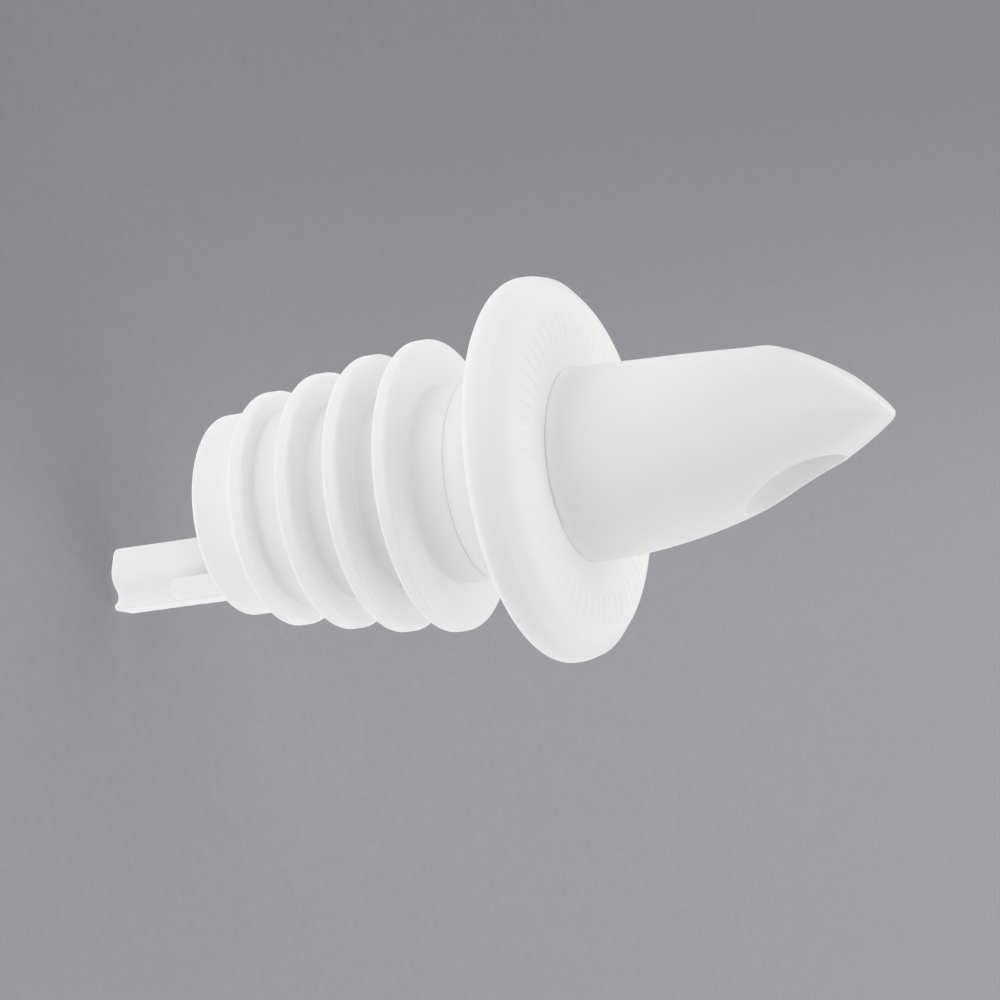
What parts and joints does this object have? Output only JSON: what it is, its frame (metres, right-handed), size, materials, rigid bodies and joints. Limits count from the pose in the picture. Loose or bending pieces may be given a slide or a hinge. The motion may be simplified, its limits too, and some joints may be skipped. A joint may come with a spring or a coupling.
{
  "type": "liquor pour spout",
  "caption": "Free-flow bottle pourer: beak spout with an oval side port, round collar, finned push-in stopper and an offset breather tube.",
  "frame": {"origin": "on the spout's axis in the plane of the collar's underside, where the bottle's lip meets it", "axes": "+Z along the spout to its tip, away from the bottle; the pour port and the breather tube are on the -Y side; X across"},
  "size_m": [0.0344, 0.0344, 0.0763],
  "materials": {
    "spout_plastic": "satin white moulded polyethylene",
    "collar_plastic": "satin white moulded polyethylene",
    "stopper_plastic": "soft white moulded polyethylene",
    "tube_plastic": "white moulded polyethylene, slightly rough"
  },
  "bodies": {
    "stopper": {"stopper": "stopper_plastic"},
    "spout": {"pour_spout": "spout_plastic", "collar": "collar_plastic", "breather_tube": "tube_plastic"}
  },
  "joints": [
    {"name": "spout_pull", "type": "slide", "parent": "stopper", "child": "spout", "axis": [0, 0, 1], "range_m": [0, 0.045]}
  ]
}
